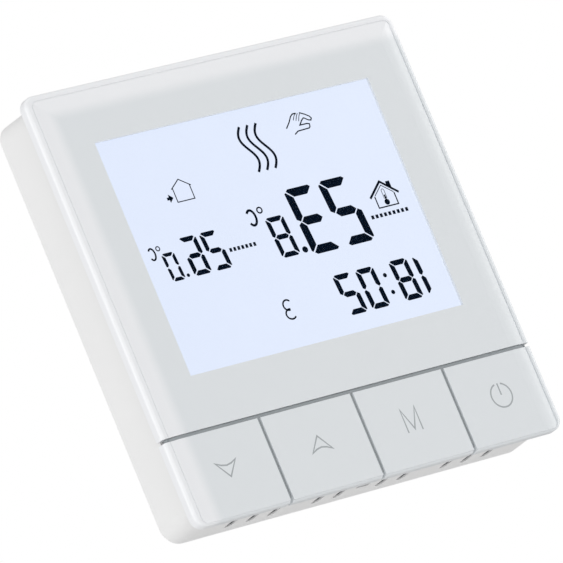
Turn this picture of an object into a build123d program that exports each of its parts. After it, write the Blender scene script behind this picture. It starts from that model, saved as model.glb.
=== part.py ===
from build123d import *
import os
from math import asin, cos, sin

# Wall thermostat for a square in-wall box. Millimetres.
# X runs to the right seen from the room, Y into the wall, Z up.
# The origin is the centre of the wall screw pattern, on the wall plane y = 0.

# Front plate and its shaped edge
plate_width = 86.0
plate_height = 86.0
total_depth = 13.3          # wall plane to front face
plate_depth = 2.4           # front face to the rear of the plate's lip
plate_corner = 2.4
skin = 1.7                  # thickness of the flat front
lip = 1.4                   # wall round the plate's rear
rim_width = 1.2             # band round the plate, outside a fine groove
rim_foot = 0.35             # the same band along the lower edge, where no groove runs
rim_drop = 0.22             # flat front to the top of the rim
rim_round = 0.8             # radius of the rim's outer edge
groove_width = 0.22
groove_depth = 0.06         # below the soft edge beside it
pillow_width = 3.4          # how far the soft edge reaches inwards from the groove
pillow_drop = 0.3           # flat front to the foot of the soft edge

# Display
window_width = 63.9
window_height = 46.9
window_centre_z = 8.0
window_thickness = 0.6
window_gap = 0.02
lcd_margin = 1.9            # how far the glass reaches past the window
lcd_ledge = 1.4             # extra glass below for the contact strip
lcd_thickness = 1.8
layer_gap = 0.03
guide_thickness = 2.0
reflector_thickness = 0.2
guide_inset = 1.0           # light guide inside the glass outline
led_length = 3.8
led_thickness = 0.9
led_pitch = 14.0
holder_wall = 1.2
holder_floor = 0.85
strip_height = 1.6
strip_end_gap = 4.0

# Keys
key_count = 4
key_names = ["down", "up", "menu", "power"]
key_height = 16.75          # lower edge of the plate to the upper edge of a key
key_gap = 0.75
key_travel = 0.3
key_rib = 1.0
key_rib_depth = 1.9         # front face to the rear of the ribs along the gaps
tongue_length = 1.6
tongue_thickness = 0.5
tongue_end_gap = 0.3
tongue_gap = 0.1
stem_radius = 1.0
stem_spread = 9.0           # between a key's two guide stems
stem_head_radius = 1.35
stem_head_length = 0.6
bush_gap = 0.05             # running clearance of a stem in its bush
actuator_radius = 1.6
carrier_clear = 0.2         # left between a pressed key's ribs and the carrier
carrier_thickness = 1.2
carrier_window_gap = 0.4

# Switches
switch_size = 4.6
switch_height = 1.9
plunger_radius = 1.15
plunger_gap = 0.05
plunger_stand = 0.9         # how far a plunger stands out of its switch
plunger_seat = 1.0          # how much of a plunger is inside its switch
switch_floor = 0.4
pre_travel = 0.05

# Base casing on the wall
base_wall = 1.8
base_floor = 1.6
base_front_inset = 1.1
base_rear_inset = 0.9
base_corner = 3.6
shadow_gap = 0.55           # between the plate's lip and the casing
sleeve_gap = 0.4
sleeve_wall = 1.2
sleeve_end = 5.0            # rear of the front unit's sleeve, from the wall
sleeve_strip = 0.9          # left whole along the sleeve's rear, past its openings

# Vents and release notch in the lower wall
vent_offsets = [5.0, 10.0, 20.3, 25.2, 30.1]
vent_width = 1.5
vent_length = 7.3
vent_start = 0.2            # from the casing's front edge
notch_width = 3.0
notch_depth = 5.2

# Wall fixing
screw_spacing = 60.0
slot_width = 4.4
slot_length = 8.0
steel_thickness = 1.0
steel_margin = 2.0          # from the casing's inside to the steel plate
steel_corner = 3.0

# Box in the wall
box_width = 50.0
box_height = 50.0
box_depth = 20.0            # wall plane to the rear of the box
box_wall = 1.8
box_corner = 3.0
flange_reach = 5.0
flange_thickness = 1.4
seat_gap = 0.3              # round the box, its flange and the boards
box_screw_spread = 36.0
screw_head_radius = 2.1
screw_head_height = 1.1
screw_shank_radius = 0.9
screw_slack = 0.2
thread_gap = 0.02

# Boards
board_thickness = 1.6
board_gap = 0.4
board_corner = 1.5
board_post_radius = 1.9
post_inset_x = 4.3
post_inset_top = 2.0
post_inset_low = 3.5
power_board_front = 1.6     # behind the wall plane
pillar = 3.0

# Connector between the boards
contact_count = 8
contact_pitch = 2.54
contact_size = 0.64
contact_hole = 0.94
contact_reach = 4.6
header_height = 2.5
header_depth = 2.5
header_centre_z = -14.0
socket_floor = 0.4
mating_gap = 0.2

# Terminals
way_count = 6
way_pitch = 5.08
terminal_height = 9.0
terminal_gap = 0.3
clamp_width = 3.8
clamp_height = 6.8
clamp_front = 7.5
clamp_depth = 4.0
clamp_gap = 0.1
wire_radius = 1.5
wire_drop = 1.8             # wire entry below the middle of a way
screw_rise = 1.7            # clamp screw above the middle of a way
terminal_head_radius = 1.7
terminal_head_length = 1.5
terminal_head_rear = 16.5
terminal_shank_radius = 1.1
terminal_well_radius = 1.9
driver_slot = 0.5
terminal_margin = 1.1       # from the box's inside to the block
wire_overrun = 1.0          # how far a wire entry runs past its clamp
pilot_floor = 0.2           # left under a screw's pilot hole

# Seal that fills the gaps round the keys
seal_recess = 0.45
seal_side_gap = 0.06
seal_end_gap = 1.0

# Components
part_gap = 0.6
chip_size = 10.0
chip_height = 1.4
cell_radius = 6.25
cell_thickness = 2.0
clip_thickness = 0.3
clip_width = 4.0
relay_size = (20.0, 13.6, 16.0)
transformer_size = (18.0, 12.4, 17.0)
capacitor_radius = 4.0
capacitor_length = 11.0
varistor_radius = 3.7
varistor_thickness = 2.6
varistor_stand = 1.2
fuse_size = (8.4, 7.6, 4.2)
bead_radius = 1.2
lead_radius = 0.25
lead_spread = 0.9
small_round = 0.5
chip_place = (12.0, 10.0)
cell_place = (-20.0, 10.0)

# Heat slots in the sides of the box
heat_slot_count = 5
heat_slot_pitch = 4.5
heat_slot_width = 1.6
heat_slot_length = 10.0

# Depth stations along Y
face_y = -total_depth
lip_rear_y = face_y + plate_depth
skin_rear_y = face_y + skin
lcd_front_y = face_y + window_thickness + layer_gap
lcd_rear_y = lcd_front_y + lcd_thickness
guide_front_y = lcd_rear_y + 2 * layer_gap
guide_rear_y = guide_front_y + guide_thickness
reflector_rear_y = guide_rear_y + layer_gap + reflector_thickness
board_front_y = reflector_rear_y + layer_gap + holder_floor
board_rear_y = board_front_y + board_thickness
rib_rear_y = face_y + key_rib_depth
carrier_front_y = rib_rear_y + key_travel + carrier_clear
carrier_rear_y = carrier_front_y + carrier_thickness
casing_front_y = lip_rear_y + shadow_gap
switch_front_y = board_front_y - switch_height
plunger_front_y = switch_front_y - plunger_stand
power_board_rear_y = power_board_front + board_thickness
box_inner_rear_y = box_depth - box_wall

# Outlines across the face
half_width = plate_width / 2
half_height = plate_height / 2
key_top_z = -half_height + key_height
frame_low_z = key_top_z + key_gap
key_mid_z = (-half_height + key_top_z) / 2
key_pitch = plate_width / key_count
inner_half_width = half_width - base_front_inset - base_wall
inner_half_height = half_height - base_front_inset - base_wall
sleeve_half_width = inner_half_width - sleeve_gap
sleeve_half_height = inner_half_height - sleeve_gap
board_half_width = sleeve_half_width - sleeve_wall - board_gap
board_half_height = sleeve_half_height - sleeve_wall - board_gap
window_top_z = window_centre_z + window_height / 2
window_low_z = window_centre_z - window_height / 2
lcd_half_width = window_width / 2 + lcd_margin
lcd_top_z = window_top_z + lcd_margin
lcd_low_z = window_low_z - lcd_margin - lcd_ledge
holder_low_z = window_low_z - lcd_margin + holder_wall / 2
holder_top_z = lcd_top_z + holder_wall / 2
parts_half_width = box_width / 2 - box_wall - pillar - part_gap
parts_half_height = box_height / 2 - box_wall - pillar - part_gap
relay_low_z = parts_half_height - relay_size[2]
terminal_centre_z = -(box_height / 2 - box_wall - terminal_margin) + terminal_height / 2
board_screw_x = board_half_width - post_inset_x
board_screw_z = (board_half_height - post_inset_top, frame_low_z + post_inset_low)


def block(xs, ys, zs):
    size = [high - low for low, high in (xs, ys, zs)]
    middle = [(low + high) / 2 for low, high in (xs, ys, zs)]
    return Pos(*middle) * Box(*size)


def about(centre, size):
    return (centre - size / 2, centre + size / 2)


def drawn(outline, front_y, rear_y):
    """A flat outline in the X-Z plane, carried from front_y back to rear_y."""
    plane = Plane(origin=(0, front_y, 0), x_dir=(1, 0, 0), z_dir=(0, -1, 0))
    return extrude(plane * outline, amount=front_y - rear_y)


def rod(x, z, radius, front_y, rear_y):
    return drawn(Pos(x, z) * Circle(radius), front_y, rear_y)


def rounded(xs, ys, zs, radius):
    width = xs[1] - xs[0]
    height = zs[1] - zs[0]
    outline = Pos(sum(xs) / 2, sum(zs) / 2) * RectangleRounded(width, height, radius)
    return drawn(outline, *ys)


def both(half):
    return (-half, half)


def pillow_bar(width, length):
    """A bar with soft front edges, carried along Z."""
    half = width / 2
    radius = (pillow_width**2 + pillow_drop**2) / (2 * pillow_drop)
    turn = asin(pillow_width / radius) / 2
    edge_y = face_y + pillow_drop
    arc_x = half - pillow_width + radius * sin(turn)
    arc_y = face_y + radius * (1 - cos(turn))
    outline = Line((-half + pillow_width, face_y), (half - pillow_width, face_y))
    outline += ThreePointArc((half - pillow_width, face_y), (arc_x, arc_y), (half, edge_y))
    outline += Line((half, edge_y), (half, lip_rear_y))
    outline += Line((half, lip_rear_y), (-half, lip_rear_y))
    outline += Line((-half, lip_rear_y), (-half, edge_y))
    outline += ThreePointArc((-half, edge_y), (-arc_x, arc_y), (-half + pillow_width, face_y))
    return extrude(make_face(outline), amount=length / 2, both=True)


def plate_area(inset, foot, front_y):
    """The plate's outline drawn in by inset, and by foot at its lower edge, from front_y to its rear."""
    radius = plate_corner - min(inset, rim_width)
    heights = (foot - half_height, half_height - inset)
    return rounded(both(half_width - inset), (front_y, lip_rear_y), heights, radius)


def plate_blank():
    rim = plate_area(0, 0, face_y + rim_drop)
    rim = fillet(rim.edges().group_by(Axis.Y)[0], rim_round)
    inner = plate_area(rim_width, rim_foot, face_y)
    reach = rim_width + pillow_width
    upright = pillow_bar(plate_width - 2 * rim_width, plate_height + 2 * reach)
    level = Rot(0, 90, 0) * pillow_bar(plate_height + pillow_width - rim_width, plate_width)
    pillow = inner & upright & (Pos(0, 0, -reach / 2) * level)
    groove = inner - plate_area(rim_width + groove_width, rim_foot, face_y)
    groove &= block(both(half_width), (face_y, face_y + pillow_drop + groove_depth), both(half_height))
    return rim - inner + pillow - groove


def vent_slot(x, half_height_in, half_height_out, width):
    """One vent through the lower wall, long along Y."""
    length = vent_length
    start = casing_front_y + vent_start
    outline = Pos(x, start + length / 2) * Rot(0, 0, 90) * SlotOverall(length, width)
    return extrude(Plane.XY.offset(-half_height_out) * outline, amount=half_height_out - half_height_in)


def release_notch(half_height_in):
    """Where a flat blade goes in to free the front unit."""
    span = (carrier_rear_y + layer_gap, casing_front_y + notch_depth)
    return block(about(0, notch_width), span, (-half_height, -half_height_in))


def vent_positions():
    return [side * offset for offset in vent_offsets for side in (-1, 1)]


def front_frame():
    above = (frame_low_z, half_height)
    body = plate_blank() & block(both(half_width), (face_y, lip_rear_y), above)
    cavity = block(both(half_width - lip), (skin_rear_y, lip_rear_y), (frame_low_z, half_height - lip))
    body -= cavity
    body += sleeve()
    for x in both(board_screw_x):
        for z in board_screw_z:
            body += rod(x, z, board_post_radius, skin_rear_y, board_front_y)
            body -= rod(x, z, screw_shank_radius + thread_gap, skin_rear_y + pilot_floor, board_front_y)
    body -= block(both(window_width / 2), (face_y, skin_rear_y), (window_low_z, window_top_z))
    recess = layer_gap + seat_gap
    body -= block(both(lcd_half_width + recess), (lcd_front_y - layer_gap, lip_rear_y),
                  (lcd_low_z - recess, lcd_top_z + recess))
    return body


def sleeve():
    """The wall that slides into the casing; behind the keys it starts behind the carrier."""
    outside = rounded(both(sleeve_half_width), (skin_rear_y, -sleeve_end), both(sleeve_half_height),
                      board_corner + sleeve_wall)
    inside = rounded(both(sleeve_half_width - sleeve_wall), (skin_rear_y, -sleeve_end),
                     both(sleeve_half_height - sleeve_wall), board_corner)
    wall = outside - inside
    wall -= block(both(half_width), (skin_rear_y, carrier_rear_y + layer_gap), (-half_height, frame_low_z))
    inner = sleeve_half_height - 2 * sleeve_wall
    kept = block(both(half_width), (-sleeve_end - sleeve_strip, 0), both(half_height))
    openings = [vent_slot(x, inner, half_height, vent_width + sleeve_gap) for x in vent_positions()]
    for opening in openings + [release_notch(inner)]:
        wall -= opening - kept
    return wall


def display_window():
    return block(both(window_width / 2 - window_gap), (face_y, face_y + window_thickness),
                 (window_low_z + window_gap, window_top_z - window_gap))


def lcd_panel():
    return block(both(lcd_half_width), (lcd_front_y, lcd_rear_y), (lcd_low_z, lcd_top_z))


def light_guide():
    xs = (-lcd_half_width + guide_inset, lcd_half_width - 2 * guide_inset - led_thickness)
    zs = (window_low_z - lcd_margin + guide_inset + holder_wall, lcd_top_z - guide_inset)
    return block(xs, (guide_front_y, guide_rear_y), zs)


def reflector_sheet():
    span = light_guide().bounding_box()
    return block((span.min.X, span.max.X), (guide_rear_y + layer_gap, reflector_rear_y),
                 (span.min.Z, span.max.Z))


def backlight_leds():
    span = light_guide().bounding_box()
    xs = (span.max.X + layer_gap, span.max.X + layer_gap + led_thickness)
    leds = [block(xs, (guide_front_y, guide_rear_y), about(window_centre_z + step * led_pitch, led_length))
            for step in (-1, 0, 1)]
    return Compound(leds)


def lcd_holder():
    front = lcd_rear_y + layer_gap
    xs = both(lcd_half_width + holder_wall / 2)
    body = rounded(xs, (front, board_front_y), (holder_low_z, holder_top_z), small_round)
    span = light_guide().bounding_box()
    pocket_x = (span.min.X - layer_gap, span.max.X + 3 * layer_gap + led_thickness)
    pocket_z = (span.min.Z - layer_gap, span.max.Z + layer_gap)
    return body - block(pocket_x, (front, reflector_rear_y + layer_gap), pocket_z)


def connector_strip():
    top = holder_low_z - layer_gap
    return block(both(lcd_half_width - strip_end_gap), (lcd_rear_y, board_front_y), (top - strip_height, top))


def main_board():
    depth = (board_front_y, board_rear_y)
    board = rounded(both(board_half_width), depth, both(board_half_height), board_corner)
    for x in both(board_screw_x):
        for z in board_screw_z:
            board -= rod(x, z, screw_shank_radius + screw_slack, board_front_y, board_rear_y)
    return board


def pan_screw(length):
    """A pan-head screw with a cross recess: head seat on y = 0, shank towards +Y."""
    head = rod(0, 0, screw_head_radius, -screw_head_height, 0)
    head = fillet(head.edges().group_by(Axis.Y)[0], small_round)
    recess = both(screw_head_radius - small_round)
    for xs, zs in ((both(driver_slot / 2), recess), (recess, both(driver_slot / 2))):
        head -= block(xs, (-screw_head_height, driver_slot - screw_head_height), zs)
    return head + rod(0, 0, screw_shank_radius, 0, length)


def board_screws():
    """Driven towards the room, through the board into the frame's posts."""
    screw = Rot(0, 0, 180) * pan_screw(board_rear_y - skin_rear_y - small_round)
    return Compound([Pos(x, board_rear_y, z) * screw for x in both(board_screw_x) for z in board_screw_z])


def key_span(index):
    low = -half_width + index * key_pitch + (key_gap / 2 if index else 0)
    last = index == key_count - 1
    high = -half_width + (index + 1) * key_pitch - (0 if last else key_gap / 2)
    return low, high


def key_centre(index):
    return -half_width + (index + 0.5) * key_pitch


def key_cap(index):
    low, high = key_span(index)
    low_edge = lip if index == 0 else key_rib
    high_edge = lip if index == key_count - 1 else key_rib
    tall = (-half_height, key_top_z)
    body = plate_blank() & block((low, high), (face_y, lip_rear_y), tall)
    body -= block((low + low_edge, high - high_edge), (skin_rear_y, lip_rear_y),
                  (-half_height + lip, key_top_z - key_rib))
    open_low = low + (lip if index == 0 else -key_gap)
    open_high = high - (lip if index == key_count - 1 else -key_gap)
    body -= block((open_low, open_high), (rib_rear_y, lip_rear_y), (-half_height + lip, key_top_z + key_gap))
    tongue_y = skin_rear_y + tongue_gap
    tongue_limit = sleeve_half_width - sleeve_wall - tongue_gap
    tongue_x = (max(low + tongue_end_gap, -tongue_limit), min(high - tongue_end_gap, tongue_limit))
    body += block(tongue_x, (tongue_y, tongue_y + tongue_thickness),
                  (key_top_z - key_rib - small_round, key_top_z + tongue_length))
    centre = key_centre(index)
    body += rod(centre, key_mid_z, actuator_radius, skin_rear_y, plunger_front_y - pre_travel)
    for x in about(centre, stem_spread):
        head_front = carrier_rear_y + tongue_gap
        body += rod(x, key_mid_z, stem_radius, skin_rear_y, head_front)
        body += rod(x, key_mid_z, stem_head_radius, head_front, head_front + stem_head_length)
    return body


def key_carrier():
    """The bar behind the keys, with a bush for each stem and a window over each switch."""
    top = key_top_z - key_rib - small_round - tongue_gap
    bar = rounded(both(sleeve_half_width), (carrier_front_y, carrier_rear_y), (-sleeve_half_height, top),
                  plate_corner)
    for index in range(key_count):
        centre = key_centre(index)
        bar -= rod(centre, key_mid_z, actuator_radius + carrier_window_gap, carrier_front_y, carrier_rear_y)
        for x in about(centre, stem_spread):
            bar -= rod(x, key_mid_z, stem_radius + bush_gap, carrier_front_y, carrier_rear_y)
    return bar


def key_seal():
    """A soft comb that fills the gaps round the keys, just below the plate's surface."""
    width = key_gap - 2 * seal_side_gap
    reach = half_width - seal_end_gap
    gap_z = (key_top_z + frame_low_z) / 2
    comb = block(both(reach), (face_y, skin_rear_y), about(gap_z, width))
    for index in range(1, key_count):
        x = -half_width + index * key_pitch
        comb += block(about(x, width), (face_y, carrier_front_y), (-half_height + seal_end_gap, gap_z))
    return comb & (Pos(0, seal_recess, 0) * plate_blank())


def switch_body(index):
    centre = key_centre(index)
    body = block(about(centre, switch_size), (switch_front_y, board_front_y), about(key_mid_z, switch_size))
    body = chamfer(body.edges().filter_by(Axis.Y), small_round)
    return body - rod(centre, key_mid_z, plunger_radius + plunger_gap, switch_front_y,
                      board_front_y - switch_floor)


def switch_plunger(index):
    body = rod(key_centre(index), key_mid_z, plunger_radius, plunger_front_y, switch_front_y + plunger_seat)
    return chamfer(body.edges().group_by(Axis.Y)[0], plunger_gap)


def controller_chip():
    x, z = chip_place
    body = block(about(x, chip_size), (board_rear_y, board_rear_y + chip_height), about(z, chip_size))
    return chamfer(body.edges().group_by(Axis.Y)[-1], driver_slot / 2)


def backup_cell():
    x, z = cell_place
    front = board_rear_y + layer_gap
    body = rod(x, z, cell_radius, front, front + cell_thickness)
    return fillet(body.edges(), small_round / 2)


def cell_clip():
    x, z = cell_place
    rear = board_rear_y + 2 * layer_gap + cell_thickness
    reach = cell_radius + tongue_gap
    body = block(both(reach + clip_thickness), (board_rear_y, rear + clip_thickness), about(0, clip_width))
    body -= block(both(reach), (board_rear_y, rear), about(0, clip_width))
    return Pos(x, 0, z) * body


def contact_positions():
    return [(index - (contact_count - 1) / 2) * contact_pitch for index in range(contact_count)]


def board_header():
    length = contact_count * contact_pitch
    rear = board_rear_y + header_height
    body = block(both(length / 2), (board_rear_y, rear), about(header_centre_z, header_depth))
    for x in contact_positions():
        body += block(about(x, contact_size), (rear, rear + contact_reach),
                      about(header_centre_z, contact_size))
    return body


def board_socket():
    length = contact_count * contact_pitch
    front = board_rear_y + header_height + mating_gap
    body = block(both(length / 2), (front, power_board_front), about(header_centre_z, header_depth))
    for x in contact_positions():
        body -= block(about(x, contact_hole), (front, power_board_front - socket_floor),
                      about(header_centre_z, contact_hole))
    return body


def temperature_sensor():
    """A bead on two leads, standing behind the board above the vents."""
    x, z = -vent_offsets[1], -board_half_height + 3 * bead_radius
    bead_y = board_rear_y + small_round + bead_radius
    body = Pos(x, bead_y, z) * Sphere(bead_radius)
    for side in both(lead_spread / 2):
        body += rod(x + side, z, lead_radius, board_rear_y, bead_y)
    return body


def slot_pair(front_y, rear_y):
    cut = [drawn(Pos(x, 0) * SlotOverall(slot_length, slot_width), front_y, rear_y)
           for x in both(screw_spacing / 2)]
    return Compound(cut)


def casing_outline(inset):
    return RectangleRounded(plate_width - 2 * inset, plate_height - 2 * inset, base_corner)


def base_casing():
    front_plane = Plane(origin=(0, casing_front_y, 0), x_dir=(1, 0, 0), z_dir=(0, -1, 0))
    wall_plane = Plane(origin=(0, 0, 0), x_dir=(1, 0, 0), z_dir=(0, -1, 0))
    rear_outline = wall_plane * casing_outline(base_rear_inset)
    outside = loft([rear_outline, front_plane * casing_outline(base_front_inset)])
    inside = rounded(both(inner_half_width), (casing_front_y, -base_floor), both(inner_half_height),
                     base_corner - base_wall)
    body = outside - inside
    body -= block(both(box_width / 2 + seat_gap), (-base_floor, 0), both(box_height / 2 + seat_gap))
    body -= slot_pair(-base_floor, 0)
    for x in vent_positions():
        body -= vent_slot(x, inner_half_height - base_wall, half_height, vent_width)
    body -= release_notch(inner_half_height)
    for x, z in box_screw_places():
        body -= rod(x, z, screw_shank_radius + thread_gap, -base_floor, 0)
    return body


def box_screw_places():
    z = box_height / 2 + flange_reach / 2 + seat_gap / 2
    return [(x, side) for x in both(box_screw_spread / 2) for side in both(z)]


def mounting_plate():
    rear = -base_floor
    plate = rounded(both(inner_half_width - steel_margin), (rear - steel_thickness, rear),
                    both(inner_half_height - steel_margin), steel_corner)
    opening_z = both(box_height / 2 + flange_reach + seat_gap)
    plate -= block(both(box_width / 2 + seat_gap), (rear - steel_thickness, rear), opening_z)
    return plate - slot_pair(rear - steel_thickness, rear)


def rear_box():
    flange_front = -base_floor - flange_thickness
    body = rounded(both(box_width / 2), (flange_front, box_depth), both(box_height / 2), box_corner)
    body = chamfer(body.edges().group_by(Axis.Y)[-1], small_round)
    flange_z = both(box_height / 2 + flange_reach)
    body += rounded(both(box_width / 2), (flange_front, -base_floor), flange_z, box_corner)
    inner_half = (box_width / 2 - box_wall, box_height / 2 - box_wall)
    inside = rounded(both(inner_half[0]), (flange_front, box_inner_rear_y), both(inner_half[1]),
                     box_corner - box_wall)
    for x in both(inner_half[0]):
        for z in both(inner_half[1]):
            inside -= block(about(x, 2 * pillar), (power_board_rear_y, box_inner_rear_y),
                            about(z, 2 * pillar))
    body -= inside
    body -= block(both(terminal_length() / 2 + terminal_gap), (box_inner_rear_y, box_depth),
                  about(terminal_centre_z, terminal_height + 2 * terminal_gap))
    for x, z in box_screw_places():
        body -= rod(x, z, screw_shank_radius + screw_slack, flange_front, -base_floor)
    return body - heat_slots()


def heat_slots():
    """Rows of slots right through the box from side to side, long along Y."""
    middle_y = (power_board_rear_y + box_inner_rear_y) / 2
    outline = Rot(0, 0, 90) * SlotOverall(heat_slot_length, heat_slot_width)
    plane = Plane(origin=(0, middle_y, 0), x_dir=(0, 0, 1), z_dir=(1, 0, 0))
    slot = extrude(plane * outline, amount=box_width, both=True)
    middle = (heat_slot_count - 1) / 2
    return [Pos(0, 0, (index - middle) * heat_slot_pitch) * slot for index in range(heat_slot_count)]


def box_screws():
    """Driven towards the wall, through the box's flange into the casing's floor."""
    screw = pan_screw(flange_thickness + base_floor - small_round)
    seat = -base_floor - flange_thickness
    return Compound([Pos(x, seat, z) * screw for x, z in box_screw_places()])


def power_board():
    half = (box_width / 2 - box_wall - seat_gap, box_height / 2 - box_wall - seat_gap)
    return rounded(both(half[0]), (power_board_front, power_board_rear_y), both(half[1]), board_corner)


def soft_block(x, z, size):
    """A component case on the rear of the power board."""
    width, depth, height = size
    rear = power_board_rear_y + depth
    body = block(about(x, width), (power_board_rear_y, rear), about(z, height))
    return chamfer(body.edges().group_by(Axis.Y)[-1], small_round)


def relay():
    x = -parts_half_width + relay_size[0] / 2
    return soft_block(x, parts_half_height - relay_size[2] / 2, relay_size)


def power_transformer():
    width, depth, height = transformer_size
    reach = 2 * small_round     # how far the core stands out above and below the coil
    x = parts_half_width - width / 2
    z = parts_half_height - reach - height / 2
    core = block(about(x, width - 2 * reach), (power_board_rear_y, power_board_rear_y + depth),
                 about(z, height + 2 * reach))
    return soft_block(x, z, transformer_size) + core


def smoothing_capacitor():
    x = -parts_half_width + capacitor_radius
    z = relay_low_z - part_gap - capacitor_radius
    body = rod(x, z, capacitor_radius, power_board_rear_y, power_board_rear_y + capacitor_length)
    return fillet(body.edges().group_by(Axis.Y)[-1], small_round)


def varistor():
    x = -parts_half_width + 2 * capacitor_radius + part_gap + varistor_thickness / 2
    z = relay_low_z - part_gap - varistor_radius
    centre_y = power_board_rear_y + varistor_stand + varistor_radius
    disc = Pos(x, centre_y, z) * Rot(0, 90, 0) * Cylinder(varistor_radius, varistor_thickness)
    disc = fillet(disc.edges(), small_round)
    for lead_z in about(z, 2 * varistor_thickness):
        disc += rod(x, lead_z, lead_radius, power_board_rear_y, centre_y)
    return disc


def fuse():
    transformer_low_z = parts_half_height - 4 * small_round - transformer_size[2]
    z = transformer_low_z - part_gap - fuse_size[2] / 2
    return soft_block(parts_half_width - transformer_size[0] / 2, z, fuse_size)


def terminal_length():
    return way_count * way_pitch


def way_positions():
    return [(index - (way_count - 1) / 2) * way_pitch for index in range(way_count)]


def terminal_block():
    body = block(both(terminal_length() / 2), (power_board_rear_y, box_depth),
                 about(terminal_centre_z, terminal_height))
    for x in way_positions():
        seat_y = (clamp_front - clamp_gap, clamp_front + clamp_depth + clamp_gap)
        body -= block(about(x, clamp_width + 2 * clamp_gap), seat_y,
                      about(terminal_centre_z, clamp_height + 2 * clamp_gap))
        body -= rod(x, terminal_centre_z - wire_drop, wire_radius, clamp_front - wire_overrun, box_depth)
        body -= rod(x, terminal_centre_z + screw_rise, terminal_well_radius, clamp_front + clamp_depth,
                    box_depth)
    return body


def terminal_clamps():
    clamps = []
    for x in way_positions():
        span = (clamp_front, clamp_front + clamp_depth)
        clamp = block(about(x, clamp_width), span, about(terminal_centre_z, clamp_height))
        clamp -= rod(x, terminal_centre_z - wire_drop, wire_radius - clamp_gap, *span)
        clamp -= rod(x, terminal_centre_z + screw_rise, terminal_shank_radius + thread_gap, *span)
        clamps.append(clamp)
    return Compound(clamps)


def terminal_screws():
    screws = []
    for x in way_positions():
        z = terminal_centre_z + screw_rise
        head_front = terminal_head_rear - terminal_head_length
        screw = rod(x, z, terminal_head_radius, head_front, terminal_head_rear)
        screw += rod(x, z, terminal_shank_radius, clamp_front + clamp_gap, head_front)
        slot_y = (terminal_head_rear - driver_slot, terminal_head_rear)
        screw -= block(about(x, 2 * terminal_head_radius), slot_y, about(z, driver_slot))
        screws.append(screw)
    return Compound(screws)


def all_nodes():
    single = [front_frame, display_window, lcd_panel, light_guide, reflector_sheet, backlight_leds,
              lcd_holder, connector_strip, main_board, board_screws, key_carrier, key_seal, controller_chip,
              backup_cell, cell_clip, board_header, board_socket, temperature_sensor, base_casing,
              mounting_plate, rear_box, box_screws, power_board, relay, power_transformer,
              smoothing_capacitor, varistor, fuse, terminal_block, terminal_clamps, terminal_screws]
    nodes = {make.__name__: make() for make in single}
    for index, name in enumerate(key_names):
        nodes["key_" + name] = key_cap(index)
        nodes["switch_body_" + name] = switch_body(index)
        nodes["switch_plunger_" + name] = switch_plunger(index)
    return nodes


os.makedirs("parts", exist_ok=True)
for node_name, shape in all_nodes().items():
    export_step(shape, os.path.join("parts", node_name + ".step"))
    print(node_name, round(shape.volume, 2))
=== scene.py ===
import math

import bmesh
import bpy
from mathutils import Matrix, Vector


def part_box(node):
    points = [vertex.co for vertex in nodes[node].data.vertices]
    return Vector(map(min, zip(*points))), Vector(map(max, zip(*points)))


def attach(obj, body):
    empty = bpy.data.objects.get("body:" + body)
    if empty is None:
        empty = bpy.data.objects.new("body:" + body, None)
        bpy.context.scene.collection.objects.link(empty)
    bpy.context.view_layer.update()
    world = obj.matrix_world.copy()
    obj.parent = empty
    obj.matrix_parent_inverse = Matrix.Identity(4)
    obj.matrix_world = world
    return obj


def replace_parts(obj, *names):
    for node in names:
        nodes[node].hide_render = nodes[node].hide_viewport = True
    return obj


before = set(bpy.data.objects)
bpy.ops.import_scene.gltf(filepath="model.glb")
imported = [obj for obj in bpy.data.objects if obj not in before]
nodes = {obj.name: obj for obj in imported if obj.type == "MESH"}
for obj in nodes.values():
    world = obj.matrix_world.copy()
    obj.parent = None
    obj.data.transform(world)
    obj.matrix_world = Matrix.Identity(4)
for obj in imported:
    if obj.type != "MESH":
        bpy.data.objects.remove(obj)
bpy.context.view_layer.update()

mm = 0.001
scene = bpy.context.scene
print("frame loaded:", len(nodes), "nodes")


# shader maths as plain expressions

class Signal:
    # one node socket; operators add Math nodes behind it
    def __init__(self, finish, socket):
        self.finish = finish
        self.socket = socket

    def math(self, operation, *others):
        values = dict(enumerate((self, *others)))
        return self.finish.node("ShaderNodeMath", {"operation": operation}, values)

    def __add__(self, other):
        return self.math("ADD", other)

    def __sub__(self, other):
        return self.math("SUBTRACT", other)

    def __rsub__(self, other):
        return self.finish.node("ShaderNodeMath", {"operation": "SUBTRACT"}, {0: other, 1: self})

    def __mul__(self, other):
        return self.math("MULTIPLY", other)

    def __truediv__(self, other):
        return self.math("DIVIDE", other)

    def __gt__(self, other):
        return self.math("GREATER_THAN", other)

    def __lt__(self, other):
        return self.math("LESS_THAN", other)

    __radd__ = __add__
    __rmul__ = __mul__


class Tree:
    # a node tree that is built from values and links
    def __init__(self, tree):
        self.tree = tree

    def join(self, socket, value):
        if isinstance(value, Signal):
            self.tree.links.new(value.socket, socket)
        else:
            socket.default_value = value

    def node(self, kind, settings=None, inputs=None, output=0):
        made = self.tree.nodes.new(kind)
        for key, value in (settings or {}).items():
            setattr(made, key, value)
        for key, value in (inputs or {}).items():
            self.join(made.inputs[key], value)
        return Signal(self, made.outputs[output])


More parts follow.
